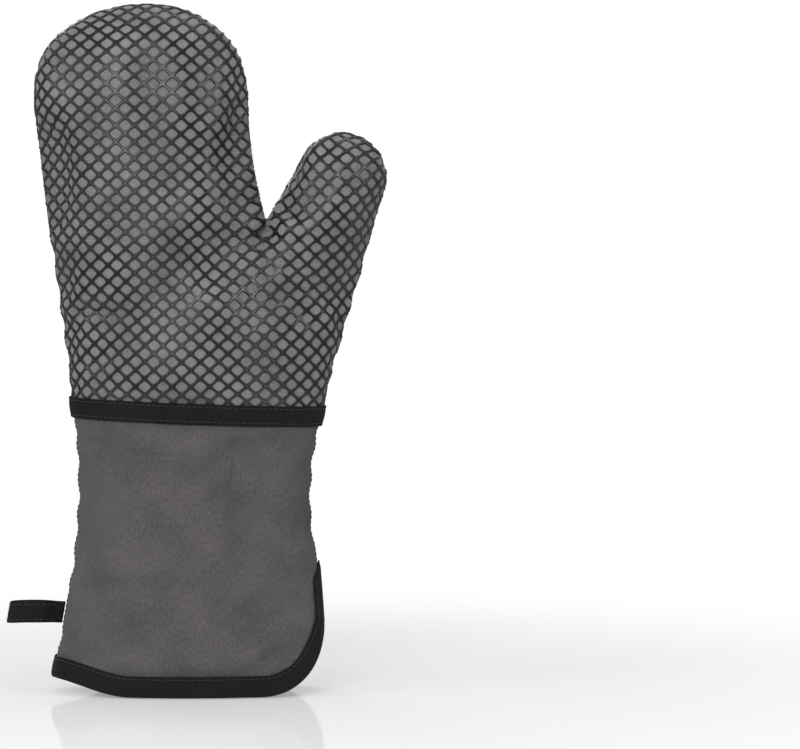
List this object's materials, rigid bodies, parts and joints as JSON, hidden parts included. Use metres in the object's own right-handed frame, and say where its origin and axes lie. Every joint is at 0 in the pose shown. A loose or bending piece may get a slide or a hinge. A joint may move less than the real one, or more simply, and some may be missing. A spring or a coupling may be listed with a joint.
{
  "type": "oven mitt",
  "caption": "Long quilted oven mitt with a thumb, silicone grip over the hand, bound cloth cuff with a side slit, and a hanging loop.",
  "frame": {"origin": "under the middle of the whole mitt, loop included, on the plane that the hem stands on", "axes": "+Z from the open cuff towards the finger tips, +X towards the thumb, -Y towards the palm"},
  "size_m": [0.207, 0.0724, 0.3701],
  "materials": {
    "silicone": "satin moulded silicone",
    "hand_cloth": "woven cotton",
    "cuff_cloth": "woven cotton, lightly quilted",
    "batting": "loose polyester fill",
    "lining_cloth": "soft cotton",
    "tape": "folded bias tape",
    "thread": "sewing thread"
  },
  "bodies": {
    "mitt": {"silicone_grip_front": "silicone", "silicone_grip_back": "silicone", "hand_shell_front": "hand_cloth", "hand_shell_back": "hand_cloth", "cuff_panel_front": "cuff_cloth", "cuff_panel_back": "cuff_cloth", "batting_front": "batting", "batting_back": "batting", "lining_front": "lining_cloth", "lining_back": "lining_cloth", "wrist_binding_front": "tape", "wrist_binding_back": "tape", "hem_binding": "tape", "wrist_stitching_front": "thread", "wrist_stitching_back": "thread", "hem_stitching": "thread", "side_seam_thread": "thread"},
    "loop": {"hanging_loop": "tape", "loop_stitching": "thread"}
  },
  "joints": [
    {"name": "loop_swing", "type": "hinge", "parent": "mitt", "child": "loop", "pos_m": [-0.07309, 0, 0.043], "axis": [0.1725, 0, 0.985], "range_deg": [-70, 70], "stiffness_Nm_per_rad": 0.002}
  ]
}
